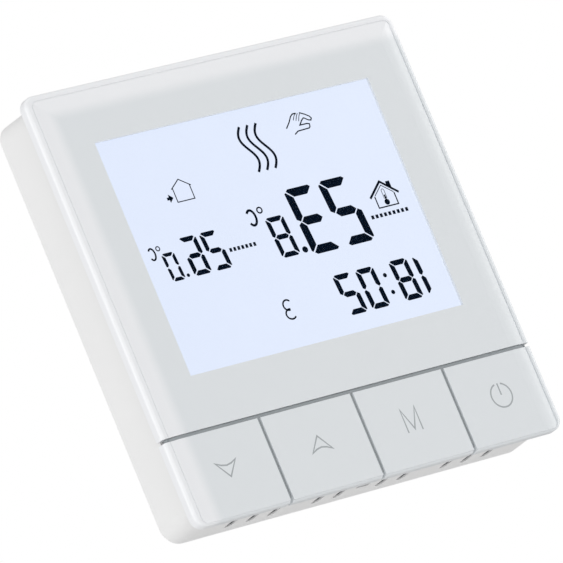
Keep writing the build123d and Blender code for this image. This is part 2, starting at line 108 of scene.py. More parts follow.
class Finish(Tree):
    # a material on a Principled shader, with fixed numbers set straight on the shader
    def __init__(self, name, color, roughness, metallic=0.0, **fixed):
        self.material = bpy.data.materials.new(name)
        self.material.use_nodes = True
        super().__init__(self.material.node_tree)
        self.shader = self.tree.nodes["Principled BSDF"]
        self.feed("Base Color", (*color, 1.0))
        self.feed("Roughness", roughness)
        self.feed("Metallic", metallic)
        for key, value in fixed.items():
            self.feed(key.replace("_", " "), value)

    def feed(self, key, value):
        self.join(self.shader.inputs[key], value)

    def place(self, stretch=(1.0, 1.0, 1.0), turn=(0.0, 0.0, 0.0)):
        # object coordinates in millimetres, stretched or turned
        here = self.node("ShaderNodeTexCoord", output="Object")
        scale = [value / mm for value in stretch]
        return self.node("ShaderNodeMapping", {}, {"Vector": here, "Scale": scale, "Rotation": turn})

    def noise(self, size, detail=2.0, place=None, distortion=0.0):
        # grey noise whose lumps are about size millimetres wide
        inputs = {"Vector": place or self.place(), "Scale": 1.0 / size, "Detail": detail, "Distortion": distortion}
        return self.node("ShaderNodeTexNoise", {}, inputs, "Fac")

    def split(self, vector, axis):
        return self.node("ShaderNodeSeparateXYZ", {}, {0: vector}, axis)

    def mix(self, factor, first, second):
        inputs = {0: factor, 6: shade(first), 7: shade(second)}
        return self.node("ShaderNodeMix", {"data_type": "RGBA"}, inputs, 2)

    def ease(self, value, start, end):
        # a smooth step from 0 at start to 1 at end
        return self.node("ShaderNodeMapRange", {"interpolation_type": "SMOOTHSTEP"},
                         {"Value": value, "From Min": start, "From Max": end})

    def bump(self, height, depth, strength=1.0):
        # depth is how tall the relief is, in millimetres
        inputs = {"Height": height, "Distance": depth * mm, "Strength": strength}
        self.feed("Normal", self.node("ShaderNodeBump", {}, inputs))


def shade(value):
    return value if isinstance(value, Signal) else (*value, 1.0)


class Growth(Tree):
    # a Geometry Nodes tree with named sizes; grow() leaves a plain mesh
    def __init__(self, name, sizes):
        super().__init__(bpy.data.node_groups.new(name, "GeometryNodeTree"))
        self.name = name
        self.sizes = sizes
        self.keys = {}
        for key, value in sizes.items():
            kind = "NodeSocketInt" if isinstance(value, int) else "NodeSocketFloat"
            self.keys[key] = self.tree.interface.new_socket(key, in_out="INPUT", socket_type=kind).identifier
        self.tree.interface.new_socket("Mesh", in_out="OUTPUT", socket_type="NodeSocketGeometry")
        self.given = self.tree.nodes.new("NodeGroupInput")

    def size(self, key):
        return Signal(self, self.given.outputs[key])

    def vector(self, x=0.0, y=0.0, z=0.0):
        return self.node("ShaderNodeCombineXYZ", {}, {0: x, 1: y, 2: z})

    def move(self, part, place, turn=(0.0, 0.0, 0.0)):
        return self.node("GeometryNodeTransform", {}, {"Geometry": part, "Translation": place, "Rotation": turn})

    def cube(self, size, place):
        return self.move(self.node("GeometryNodeMeshCube", {}, {"Size": size}), place)

    def merge(self, parts):
        made = self.tree.nodes.new("GeometryNodeJoinGeometry")
        for part in parts:
            self.tree.links.new(part.socket, made.inputs[0])
        return Signal(self, made.outputs[0])

    def row(self, part, count, start, step):
        line = self.node("GeometryNodeMeshLine", {"mode": "OFFSET"},
                         {"Count": count, "Start Location": start, "Offset": step})
        return self.node("GeometryNodeInstanceOnPoints", {}, {"Points": line, "Instance": part})

    def grow(self, part, finish, body, slot):
        real = self.node("GeometryNodeRealizeInstances", {}, {"Geometry": part})
        done = self.node("GeometryNodeSetMaterial", {}, {"Geometry": real, "Material": finish.material})
        self.join(self.tree.nodes.new("NodeGroupOutput").inputs[0], done)
        piece = bpy.data.objects.new(self.name, bpy.data.meshes.new(self.name))
        scene.collection.objects.link(piece)
        modifier = piece.modifiers.new("grow", "NODES")
        modifier.node_group = self.tree
        for key, value in self.sizes.items():
            modifier[self.keys[key]] = value
        grown = piece.evaluated_get(bpy.context.evaluated_depsgraph_get())
        mesh = bpy.data.meshes.new_from_object(grown)
        piece.modifiers.remove(modifier)
        piece.data = mesh
        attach(piece, body)
        return piece


def paint(finish, *names):
    for name in names:
        for slot in nodes[name].material_slots:
            slot.material = finish.material


# moulded plastics

# the edge colour and its span give a painted highlight along the left and top of the shaped edge
plateLook = {"color": (0.775, 0.805, 0.825), "tint": (0.755, 0.785, 0.808), "roughness": 0.30, "ripple": 0.9,
             "rippleDepth": 0.0016, "smudge": 14.0, "edge": (0.885, 0.895, 0.915), "edgeHighlightStart": 36.8, "edgeHighlightEnd": 39.6}
# painted shade inside the vents: its colour, the depth band and the span where it lies
ventShadeLook = {"color": (0.20, 0.205, 0.215), "skin": 0.35, "reach": 1.1, "front": -10.2, "rear": -2.6,
            "spread": 33.0}


def paintedVentShade(finish, color, name):
    # painted shade: the walls of the openings through a piece's lowest wall are painted darker, standing in for the
    # shade inside the vents
    place = finish.place()
    height = finish.split(place, "Z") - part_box(name)[0].z / mm
    within = (height > ventShadeLook["skin"]) * (height < ventShadeLook["reach"])
    within *= finish.split(place, "X").math("ABSOLUTE") < ventShadeLook["spread"]
    along = finish.split(place, "Y")
    within *= (along > ventShadeLook["front"]) * (along < ventShadeLook["rear"])
    return finish.mix(within, color, ventShadeLook["color"])


def glossPlastic(name, look):
    # polished mould face: a faint long ripple, and handling marks that only change the gloss
    finish = Finish(name, look["color"], look["roughness"], Coat_Weight=0.25, Coat_Roughness=0.12)
    cloud = finish.noise(look["smudge"], 3.0)
    face = finish.mix(cloud, look["color"], look["tint"])
    # painted highlight: the shaped edge is painted paler at the left and along the top, where the light falls on it
    place = finish.place()
    outward = (finish.split(place, "X") * -1.0).math("MAXIMUM", finish.split(place, "Z"))
    face = finish.mix(finish.ease(outward, look["edgeHighlightStart"], look["edgeHighlightEnd"]), face, look["edge"])
    # the vent walls of the front frame get painted shade
    finish.feed("Base Color", paintedVentShade(finish, face, "front_frame"))
    fine = finish.noise(look["ripple"], 2.0)
    speck = finish.noise(0.12, 1.0)
    finish.feed("Roughness", look["roughness"] + (cloud - 0.5) * 0.10 + (speck - 0.5) * 0.05)
    finish.bump(fine * 0.8 + speck * 0.2, look["rippleDepth"])
    return finish


casingLook = {"color": (0.865, 0.865, 0.862), "shadow": (0.835, 0.836, 0.838), "roughness": 0.52, "grain": 0.22,
              "grainDepth": 0.006}


def grainPlastic(name, look, pierced=None):
    # spark-eroded mould face: an even fine grain over slow changes of tone
    finish = Finish(name, look["color"], look["roughness"])
    grain = finish.noise(look["grain"], 4.0)
    cloud = finish.noise(18.0, 2.0)
    color = finish.mix(cloud, look["color"], look["shadow"])
    # the vent walls of a pierced piece get painted shade
    finish.feed("Base Color", paintedVentShade(finish, color, pierced) if pierced else color)
    finish.feed("Roughness", look["roughness"] + (grain - 0.5) * 0.22)
    finish.bump(grain, look["grainDepth"])
    return finish


plateWhite = glossPlastic("plateWhite", plateLook)
casingWhite = grainPlastic("casingWhite", casingLook, "base_casing")
mouldLooks = {
    "boxWhite": {"color": (0.80, 0.80, 0.785), "shadow": (0.76, 0.76, 0.745), "roughness": 0.60, "grain": 0.35,
                 "grainDepth": 0.010},
    "carrierGrey": {"color": (0.46, 0.49, 0.50), "shadow": (0.43, 0.46, 0.475), "roughness": 0.55, "grain": 0.25,
                    "grainDepth": 0.006},
    "holderWhite": {"color": (0.78, 0.78, 0.76), "shadow": (0.74, 0.74, 0.73), "roughness": 0.45, "grain": 0.3,
                    "grainDepth": 0.005},
    "blackMould": {"color": (0.022, 0.022, 0.024), "shadow": (0.035, 0.034, 0.034), "roughness": 0.5, "grain": 0.2,
                   "grainDepth": 0.008},
    "relayBlue": {"color": (0.012, 0.075, 0.30), "shadow": (0.010, 0.060, 0.25), "roughness": 0.38, "grain": 0.3,
                  "grainDepth": 0.005},
    "terminalGreen": {"color": (0.02, 0.22, 0.085), "shadow": (0.016, 0.18, 0.07), "roughness": 0.45, "grain": 0.25,
                      "grainDepth": 0.008},
}
moulded = {name: grainPlastic(name, look) for name, look in mouldLooks.items()}
paint(plateWhite, "front_frame", "key_down", "key_up", "key_menu", "key_power")
paint(casingWhite, "base_casing")
paint(moulded["boxWhite"], "rear_box")
paint(moulded["carrierGrey"], "key_carrier")
paint(moulded["holderWhite"], "lcd_holder")
paint(moulded["relayBlue"], "relay")
paint(moulded["terminalGreen"], "terminal_block")
paint(moulded["blackMould"], "board_header", "board_socket", "fuse", "controller_chip")
for keyName in ("down", "up", "menu", "power"):
    paint(moulded["blackMould"], "switch_body_" + keyName, "switch_plunger_" + keyName)
print("plastics done")


# metals

metalLook = {"zinc": (0.62, 0.63, 0.64), "brass": (0.66, 0.49, 0.22), "nickel": (0.70, 0.69, 0.66)}


def brushedMetal(name, color, roughness, grain=(0.3, 6.0, 6.0)):
    finish = Finish(name, color, roughness, 1.0)
    lines = finish.noise(0.35, 4.0, finish.place(tuple(1.0 / value for value in grain)))
    spots = finish.noise(5.0, 3.0)
    darker = tuple(value * 0.82 for value in color)
    finish.feed("Base Color", finish.mix(spots, color, darker))
    finish.feed("Roughness", roughness + (lines - 0.5) * 0.25 + (spots - 0.5) * 0.12)
    finish.bump(lines, 0.004)
    return finish


zincSteel = brushedMetal("zincSteel", metalLook["zinc"], 0.36)
brassMetal = brushedMetal("brassMetal", metalLook["brass"], 0.30)
cellSteel = brushedMetal("cellSteel", metalLook["nickel"], 0.22, (3.0, 3.0, 3.0))
paint(zincSteel, "mounting_plate", "box_screws", "board_screws", "terminal_screws", "cell_clip")
paint(brassMetal, "terminal_clamps")
paint(cellSteel, "backup_cell")
print("metals done")


# boards and small parts

boardLook = {"mask": (0.012, 0.115, 0.045), "trace": (0.020, 0.165, 0.065), "pad": (0.62, 0.60, 0.52)}


def circuitBoard():
    # solder mask over copper tracks that run in steps, with tinned vias
    finish = Finish("circuitBoard", boardLook["mask"], 0.32, Coat_Weight=0.3)
    here = finish.place()
    cells = finish.node("ShaderNodeTexVoronoi", {"feature": "F1", "distance": "CHEBYCHEV"},
                        {"Vector": here, "Scale": 0.33, "Randomness": 0.75}, "Distance")
    tracks = (cells * 3.0).math("FRACT")
    copper = tracks < 0.45
    vias = finish.node("ShaderNodeTexVoronoi", {"feature": "F1"}, {"Vector": here, "Scale": 0.28}, "Distance") < 0.11
    green = finish.mix(copper, boardLook["mask"], boardLook["trace"])
    finish.feed("Base Color", finish.mix(vias, green, boardLook["pad"]))
    finish.feed("Metallic", vias * 0.9)
    finish.feed("Roughness", 0.32 + finish.noise(3.0) * 0.12)
    finish.bump(copper * 0.7 + vias * 0.3, 0.035)
    return finish


def woundTape():
    # turns of yellow tape round the transformer's coil
    finish = Finish("woundTape", (0.62, 0.42, 0.03), 0.42)
    edge = finish.split(finish.place(), "Y")
    turns = (edge * 0.45).math("FRACT")
    wrinkle = finish.noise(1.6, 3.0)
    finish.feed("Base Color", finish.mix(turns, (0.66, 0.46, 0.04), (0.52, 0.33, 0.02)))
    finish.feed("Roughness", 0.34 + wrinkle * 0.2)
    finish.bump(turns * 0.5 + wrinkle * 0.5, 0.06)
    return finish


def dipped(name, color, roughness):
    # resin coat with sagging lumps and pinholes
    finish = Finish(name, color, roughness, Coat_Weight=0.4)
    lumps = finish.noise(1.4, 3.0)
    finish.feed("Base Color", finish.mix(lumps, color, tuple(value * 0.7 for value in color)))
    finish.bump(lumps, 0.10)
    return finish


def sleeved():
    # capacitor sleeve with its pale polarity stripe
    finish = Finish("capacitorSleeve", (0.015, 0.02, 0.045), 0.3, Coat_Weight=0.3)
    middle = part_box("smoothing_capacitor")
    centreX = (middle[0].x + middle[1].x) / 2 / mm
    across = finish.split(finish.place(), "X") - centreX
    stripe = across > 2.9
    finish.feed("Base Color", finish.mix(stripe, (0.015, 0.02, 0.045), (0.55, 0.57, 0.6)))
    finish.bump(finish.noise(2.0), 0.05)
    return finish


def softRubber():
    # layered contact strip: thin dark layers between pale ones
    finish = Finish("contactRubber", (0.10, 0.11, 0.13), 0.7)
    layers = (finish.split(finish.place(), "X") * 4.0).math("FRACT") > 0.5
    finish.feed("Base Color", finish.mix(layers, (0.30, 0.33, 0.38), (0.02, 0.02, 0.022)))
    finish.bump(layers, 0.01)
    return finish


def sealRubber():
    # matt grey rubber with a faint skin of dust
    finish = Finish("sealRubber", (0.36, 0.385, 0.40), 0.72, Specular_IOR_Level=0.2)
    dust = finish.noise(0.8, 3.0)
    finish.feed("Base Color", finish.mix(dust, (0.40, 0.425, 0.44), (0.34, 0.365, 0.38)))
    finish.feed("Roughness", 0.66 + dust * 0.15)
    finish.bump(dust, 0.01)
    return finish


def paleFilm(name, color, roughness, glow=0.0):
    # back-printed film or acrylic with a dot pattern that spreads the light
    finish = Finish(name, color, roughness, Coat_Weight=0.5)
    dots = finish.node("ShaderNodeTexVoronoi", {"feature": "F1"},
                       {"Vector": finish.place(), "Scale": 1.4, "Randomness": 0.0}, "Distance") < 0.28
    finish.feed("Base Color", finish.mix(dots, color, (1.0, 1.0, 1.0)))
    finish.bump(dots, 0.01)
    if glow:
        finish.feed("Emission Color", (0.9, 0.95, 1.0, 1.0))
        finish.feed("Emission Strength", glow)
    return finish


boardGreen = circuitBoard()
paint(boardGreen, "main_board", "power_board")
paint(woundTape(), "power_transformer")
paint(dipped("varistorBlue", (0.02, 0.09, 0.38), 0.25), "varistor")
paint(dipped("sensorBlack", (0.02, 0.02, 0.02), 0.3), "temperature_sensor")
paint(sleeved(), "smoothing_capacitor")
paint(softRubber(), "connector_strip")
paint(sealRubber(), "key_seal")
paint(paleFilm("reflectorFilm", (0.90, 0.91, 0.92), 0.3), "reflector_sheet")
paint(paleFilm("guideAcrylic", (0.80, 0.84, 0.90), 0.12, 0.35), "light_guide")
paint(paleFilm("ledCase", (0.85, 0.82, 0.60), 0.3, 0.8), "backlight_leds")
print("boards and parts done")


# small repeated parts, grown by Geometry Nodes

tinLook = brushedMetal("tinnedSteel", (0.72, 0.72, 0.70), 0.28, (2.0, 2.0, 2.0))
goldLook = brushedMetal("goldContact", (0.83, 0.62, 0.25), 0.22, (1.0, 6.0, 1.0))
chipBlack = grainPlastic("chipBlack", {"color": (0.018, 0.018, 0.020), "shadow": (0.03, 0.03, 0.032),
                                       "roughness": 0.42, "grain": 0.12, "grainDepth": 0.004})
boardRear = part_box("main_board")[1].y
chipLow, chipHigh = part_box("controller_chip")
legSizes = {"Legs": 11, "Pitch": 0.8 * mm, "Leg Width": 0.32 * mm, "Leg Thickness": 0.15 * mm,
            "Shoulder": 0.45 * mm, "Foot": 0.6 * mm}


def chipLegs():
    # gull-wing legs: a shoulder, a riser and a foot, in a row on each of four sides
    tree = Growth("chipLegs", legSizes)
    wide, thick = tree.size("Leg Width"), tree.size("Leg Thickness")
    out, foot = tree.size("Shoulder"), tree.size("Foot")
    half = (chipHigh.x - chipLow.x) / 2
    lift = (chipHigh.y - boardRear) / 2
    shoulder = tree.cube(tree.vector(wide, thick, out), tree.vector(0.0, lift, out * -0.5 - half))
    riser = tree.cube(tree.vector(wide, lift, thick), tree.vector(0.0, lift / 2, (out + thick * 0.4) * -1.0 - half))
    pad = tree.cube(tree.vector(wide, thick, foot), tree.vector(0.0, thick * 0.5, (out + foot * 0.5) * -1.0 - half))
    leg = tree.merge([shoulder, riser, pad])
    reach = (tree.size("Legs") - 1) * tree.size("Pitch") * 0.5
    side = tree.row(leg, tree.size("Legs"), tree.vector(reach * -1.0), tree.vector(tree.size("Pitch")))
    ring = tree.merge([tree.move(side, (0.0, 0.0, 0.0), (0.0, math.radians(90 * turn), 0.0)) for turn in range(4)])
    centre = ((chipLow.x + chipHigh.x) / 2, boardRear, (chipLow.z + chipHigh.z) / 2)
    return tree.grow(tree.move(ring, centre), tinLook, "front_unit", "steel")


# rows of chip resistors and capacitors: first place, step, count and whether they stand across the row
partRows = [((-30.0, -22.0), (3.4, 0.0), 7, False), ((6.0, -22.5), (3.4, 0.0), 6, True),
            ((-6.0, 4.0), (0.0, 2.6), 6, False), ((23.5, 3.0), (0.0, 2.9), 6, True),
            ((-14.0, 24.0), (3.2, 0.0), 10, True), ((14.0, -6.0), (3.6, 0.0), 5, False)]
partSizes = {"Length": 2.0 * mm, "Width": 1.25 * mm, "Height": 0.55 * mm, "End": 0.42 * mm}


def surfaceParts(name, finish, slot, ends):
    # the dark bodies or the bright ends of the chip parts on the main board
    tree = Growth(name, partSizes)
    length, width, height, end = (tree.size(key) for key in ("Length", "Width", "Height", "End"))
    if ends:
        caps = [tree.cube(tree.vector(end, height, width), tree.vector((length - end) * side, height * 0.5, 0.0))
                for side in (-0.5, 0.5)]
        part = tree.merge(caps)
    else:
        part = tree.cube(tree.vector(length - end * 2.0, height * 0.92, width * 0.96),
                         tree.vector(0.0, height * 0.46, 0.0))
    rows = []
    for (x, z), (stepX, stepZ), count, across in partRows:
        turned = tree.move(part, (0.0, 0.0, 0.0), (0.0, math.radians(90.0 if across else 0.0), 0.0))
        rows.append(tree.row(turned, count, (x * mm, boardRear, z * mm), (stepX * mm, 0.0, stepZ * mm)))
    return tree.grow(tree.merge(rows), finish, "front_unit", slot)


headerLow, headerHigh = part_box("board_header")
pinSizes = {"Pins": 8, "Pitch": 2.54 * mm, "Pin": 0.64 * mm, "Tip": 0.5 * mm, "Housing": 2.5 * mm}


def headerPins():
    # square pins with a narrower tip
    tree = Growth("headerPins", pinSizes)
    pin, tip = tree.size("Pin"), tree.size("Tip")
    start, reach = boardRear + pinSizes["Housing"], headerHigh.y - boardRear - pinSizes["Housing"]
    shank = tip * -1.0 + reach
    shaft = tree.cube(tree.vector(pin, shank, pin), tree.vector(0.0, shank * 0.5 + start, 0.0))
    point = tree.cube(tree.vector(pin * 0.6, tip, pin * 0.6), tree.vector(0.0, tip * -0.5 + (start + reach), 0.0))
    return placeAlongHeader(tree, tree.merge([shaft, point]), goldLook, "brass")


def headerHousing():
    # one waisted cell for each pin
    tree = Growth("headerHousing", pinSizes)
    pitch, deep = tree.size("Pitch"), tree.size("Housing")
    cells = [tree.cube(tree.vector(pitch * wide, deep, deep * tall), tree.vector(0.0, deep * 0.5 + boardRear, 0.0))
             for wide, tall in ((0.78, 1.0), (1.0, 0.72))]
    return placeAlongHeader(tree, tree.merge(cells), moulded["blackMould"], "black_plastic")


def placeAlongHeader(tree, part, finish, slot):
    reach = (tree.size("Pins") - 1) * tree.size("Pitch") * -0.5
    middle = (headerLow.z + headerHigh.z) / 2
    line = tree.row(part, tree.size("Pins"), tree.vector(reach, 0.0, middle), tree.vector(tree.size("Pitch")))
    return tree.grow(line, finish, "front_unit", slot)


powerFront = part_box("power_board")[0].y
jointSizes = {"Base": 0.95 * mm, "Top": 0.4 * mm, "Rise": 0.55 * mm, "Lead": 0.3 * mm, "Lead Rise": 0.95 * mm}
# solder joints on the power board: first place, step and count
jointRows = [((-12.7, -18.2), (5.08, 0.0), 6), ((-15.0, 16.5), (0.0, -9.5), 2), ((-5.0, 16.5), (0.0, -4.75), 3),
             ((5.0, 16.5), (3.8, 0.0), 4), ((5.0, 1.2), (3.8, 0.0), 4), ((-17.0, -1.2), (2.5, 0.0), 3)]


def solderJoints():
    # a cone of solder round the end of each lead
    tree = Growth("solderJoints", jointSizes)
    cone = tree.node("GeometryNodeMeshCone", {}, {"Vertices": 16, "Radius Top": tree.size("Top"),
                                                  "Radius Bottom": tree.size("Base"), "Depth": tree.size("Rise")})
    lead = tree.node("GeometryNodeMeshCone", {}, {"Vertices": 10, "Radius Top": tree.size("Lead") * 0.7,
                                                  "Radius Bottom": tree.size("Lead"), "Depth": tree.size("Lead Rise")})
    joint = tree.move(tree.merge([cone, lead]), (0.0, powerFront, 0.0), (math.radians(90.0), 0.0, 0.0))
    smooth = tree.node("GeometryNodeSetShadeSmooth", {}, {"Geometry": joint, "Shade Smooth": False})
    rows = [tree.row(smooth, count, (x * mm, 0.0, z * mm), (stepX * mm, 0.0, stepZ * mm))
            for (x, z), (stepX, stepZ), count in jointRows]
    return tree.grow(tree.merge(rows), tinLook, "base_unit", "steel")


chipLegs()
surfaceParts("surfaceBodies", chipBlack, "chip_resin", False)
surfaceParts("surfaceEnds", tinLook, "steel", True)
headerPins()
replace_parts(headerHousing(), "board_header")
solderJoints()
print("small parts done")


# the lit display

glowLook = {"color": (0.768, 0.839, 0.991), "dim": (0.735, 0.808, 0.975), "strength": 1.0}
inkLook = {"color": (0.001, 0.004, 0.011), "tint": (0.002, 0.006, 0.016)}


def litGlass():
    # backlight through the glass: even, a touch weaker away from the diodes, with the dots of the light guide
    finish = Finish("litGlass", (0.02, 0.022, 0.026), 0.25)
    low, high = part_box("light_guide")
    along = (finish.split(finish.place(), "X") - low.x / mm) / ((high.x - low.x) / mm)
    dots = finish.noise(0.5, 0.0)
    fall = along * 0.5 + dots * 0.25 + 0.25
    finish.feed("Emission Color", finish.mix(fall, glowLook["dim"], glowLook["color"]))
    finish.feed("Emission Strength", glowLook["strength"])
    finish.bump(finish.noise(6.0), 0.002)
    return finish


def clearWindow():
    finish = Finish("clearWindow", (0.05, 0.07, 0.10), 0.06)
    haze = finish.noise(9.0, 3.0)
    finish.feed("Alpha", 0.012 + haze * 0.012)
    finish.feed("Roughness", 0.05 + haze * 0.06)
    return finish


def segmentInk():
    finish = Finish("segmentInk", inkLook["color"], 0.6, Specular_IOR_Level=0.0)
    finish.feed("Base Color", finish.mix(finish.noise(1.5), inkLook["color"], inkLook["tint"]))
    finish.feed("Roughness", 0.55 + finish.noise(0.4) * 0.15)
    return finish


paint(litGlass(), "lcd_panel")
paint(clearWindow(), "display_window")
segmentBlack = segmentInk()


# flat marks: outlines in millimetres on the X-Z plane, made into thin slabs

# the marks are drawn for a window this size and fitted to the real one
drawing = {"width": 64.66, "height": 47.29, "middle": 8.145}


def fitted(outline, nudge=(0.0, 0.0)):
    low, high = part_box("display_window")
    wide = (high.x - low.x) / mm / drawing["width"]
    tall = (high.z - low.z) / mm / drawing["height"]
    middle = (high.z + low.z) / 2 / mm
    return [(x * wide + nudge[0], middle + (z - drawing["middle"]) * tall + nudge[1]) for x, z in outline]


def slab(name, shapes, frontY, rearY, finish, body, nudge=(0.0, 0.0)):
    mesh = bpy.data.meshes.new(name)
    work = bmesh.new()
    for shape in shapes:
        outline = fitted(shape, nudge)
        area = sum(a[0] * b[1] - b[0] * a[1] for a, b in zip(outline, outline[1:] + outline[:1]))
        ring = outline if area > 0 else outline[::-1]
        front = [work.verts.new((x * mm, frontY, z * mm)) for x, z in ring]
        rear = [work.verts.new((x * mm, rearY, z * mm)) for x, z in ring]
        work.faces.new(front)
        work.faces.new(rear[::-1])
        for index in range(len(ring)):
            after = (index + 1) % len(ring)
            work.faces.new((front[after], front[index], rear[index], rear[after]))
    work.to_mesh(mesh)
    work.free()
    mesh.materials.append(finish.material)
    piece = bpy.data.objects.new(name, mesh)
    scene.collection.objects.link(piece)
    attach(piece, body)
    return piece


def stroke(points, width, closed=False):
    # quads along a bent line, mitred where it turns
    count = len(points)
    sides = []
    for index, (x, z) in enumerate(points):
        before = points[index - 1] if closed or index else None
        after = points[(index + 1) % count] if closed or index < count - 1 else None
        turns = []
        for first, second in ((before, (x, z)), ((x, z), after)):
            if first is not None and second is not None:
                run = Vector((second[0] - first[0], second[1] - first[1])).normalized()
                turns.append(Vector((-run.y, run.x)))
        normal = sum(turns, Vector((0.0, 0.0))).normalized()
        reach = width / 2 / max(normal.dot(turns[0]), 0.35)
        sides.append(((x + normal.x * reach, z + normal.y * reach), (x - normal.x * reach, z - normal.y * reach)))
    last = count if closed else count - 1
    quads = []
    for index in range(last):
        here, after = sides[index], sides[(index + 1) % count]
        quads.append([here[0], after[0], after[1], here[1]])
    return quads


def arcPoints(centre, radius, startDeg, endDeg, steps=24, tall=1.0):
    turn = [math.radians(startDeg + (endDeg - startDeg) * step / steps) for step in range(steps + 1)]
    return [(centre[0] + radius * math.cos(angle), centre[1] + radius * tall * math.sin(angle)) for angle in turn]


def disc(centre, radius, tall=1.0):
    return arcPoints(centre, radius, 0, 360 - 360 / 20, 19, tall)


def digit(left, size, lit):
    # seven bars; lit names the ones that show, a at the top and then clockwise, g in the middle
    top, width, height, bar, gap = (size[key] for key in ("top", "width", "height", "bar", "gap"))
    half, mid = bar / 2, height / 2
    slim, cut = bar * 0.96, bar * 0.24
    across = [gap + cut, gap + 2.2 * cut, width - gap - 2.2 * cut, width - gap - cut]
    inside = [width - bar - gap, bar + gap]
    bars = {
        "a": list(zip(across + inside, (-cut, 0, 0, -cut, -bar, -bar))),
        "d": list(zip(across + inside, (cut - height, -height, -height, cut - height, bar - height, bar - height))),
        "g": [(half + gap, -mid), (bar + gap, half - mid), (width - bar - gap, half - mid), (width - half - gap, -mid),
              (width - bar - gap, -half - mid), (bar + gap, -half - mid)],
        "f": [(0, -gap - cut * 1.6), (cut * 0.8, -gap - cut * 1.1), (slim, -bar - gap), (slim, half + gap - mid),
              (half * 0.9, gap * 0.5 - mid),
              (0, half * 0.6 + gap * 0.4 - mid)],
        "e": [(0, gap + cut * 1.6 - height), (cut * 0.8, gap + cut * 1.1 - height), (slim, bar + gap - height),
              (slim, -half - gap - mid),
              (half * 0.9, -gap * 0.5 - mid), (0, -half * 0.6 - gap * 0.4 - mid)],
    }
    bars["b"] = [(width - x, z) for x, z in bars["f"]]
    bars["c"] = [(width - x, z) for x, z in bars["e"]]
    return [[(left + x - z * digitLean, top + z) for x, z in bars[name]] for name in lit]


# letters show which bars are lit, as the display reads them
numeral = {"two": "afgcd", "three": "afged", "eight": "abcdefg", "zero": "abcdef", "six": "abgcde", "one": "fe"}
digitLean = 0.07
bigDigits = {"top": 14.4, "width": 6.85, "height": 13.5, "bar": 1.72, "gap": 0.14, "lefts": (3.55, 11.62)}
midDigit = {"left": -2.98, "top": 9.95, "width": 4.3, "height": 8.25, "bar": 1.0, "gap": 0.14}
setDigits = {"top": 10.27, "width": 4.05, "height": 7.8, "bar": 0.98, "gap": 0.14, "lefts": (-23.2, -18.35)}
setSmall = {"left": -28.1, "top": 8.15, "width": 2.95, "height": 5.7, "bar": 0.72, "gap": 0.14}
clockDigits = {"top": -3.9, "width": 4.3, "height": 8.25, "bar": 1.08, "gap": 0.1,
               "lefts": (6.4, 11.8, 19.82, 25.45)}
# decimal points and the clock's colon: centre and radius
displayDots = [((3.14, 2.34), 0.64), ((-24.02, 3.04), 0.36), ((18.05, -6.25), 0.44), ((18.32, -9.78), 0.44)]


def displayMarks():
    shapes = []
    for left, name in zip(bigDigits["lefts"], ("three", "two")):
        shapes += digit(left, bigDigits, numeral[name])
    shapes += digit(midDigit["left"], midDigit, numeral["eight"])
    for left, name in zip(setDigits["lefts"], ("six", "two")):
        shapes += digit(left, setDigits, numeral[name])
    shapes += digit(setSmall["left"], setSmall, numeral["zero"])
    for left, name in zip(clockDigits["lefts"], ("two", "zero", "eight", "one")):
        shapes += digit(left, clockDigits, numeral[name])
    return shapes + [disc(centre, radius) for centre, radius in displayDots]


def degreeMark(centre, radius, bowl, height, weight):
    # a ring beside a C that opens to the left
    ring = stroke(disc((centre[0] + bowl * 2.45, centre[1] + height * 0.36), radius), weight * 0.6, True)
    arc = arcPoints(centre, bowl, -140, 140, 20, height / 2 / bowl)
    return ring + stroke(arc, weight)


def weekdayMark():
    # the small 3 under the clock, opening to the right
    upper = arcPoints((-5.62, -7.15), 0.98, 40, 285, 16, 1.05)
    lower = arcPoints((-5.62, -8.95), 1.10, 75, 320, 16, 0.92)
    return stroke(upper, 0.34) + stroke(lower, 0.34)


def heatMark():
    # three rising waves
    marks = []
    for index in range(3):
        line = []
        for step in range(25):
            t = step / 24
            sway = -1.25 * math.sin(2 * math.pi * (t * 0.93 + 0.035)) - (t - 0.5) * 0.3
            line.append((0.02 + index * 1.97 + sway, 28.3 - t * 9.35))
        marks += stroke(line, 0.52)
    return marks


def homeMark(x, z, width, height, weight):
    half = width / 2
    roof = stroke([(x - half - 0.3, z + height * 0.62), (x, z + height), (x + half + 0.3, z + height * 0.62)], weight)
    eaves = z + height * 0.66
    walls = stroke([(x - half, eaves), (x - half, z), (x + half, z), (x + half, eaves)], weight)
    return roof + walls


def arrowMark(x, z):
    return [[(x, z - 0.28), (x + 0.5, z - 0.28), (x + 0.5, z - 0.85), (x + 1.45, z), (x + 0.5, z + 0.85),
             (x + 0.5, z + 0.28), (x, z + 0.28)]]


def roomMark():
    # a house with a thick roof, a chimney and a thermometer inside
    shapes = stroke([(21.9, 8.75), (25.35, 11.6), (28.75, 8.75)], 0.46)
    shapes += stroke([(23.1, 9.0), (25.35, 10.85), (27.6, 9.0)], 0.16)
    shapes += stroke([(23.0, 8.9), (23.0, 6.55), (27.65, 6.55), (27.65, 8.9)], 0.26)
    shapes.append([(26.65, 10.5), (27.6, 9.75), (27.6, 11.35), (26.65, 11.35)])
    shapes += stroke(arcPoints((25.3, 9.75), 0.32, 180, 0, 10) + [(25.62, 8.2), (24.98, 8.2), (24.98, 9.75)], 0.12)
    shapes += stroke([(25.3, 8.9), (25.3, 7.7)], 0.34)
    shapes.append(disc((25.3, 7.4), 0.6))
    return shapes


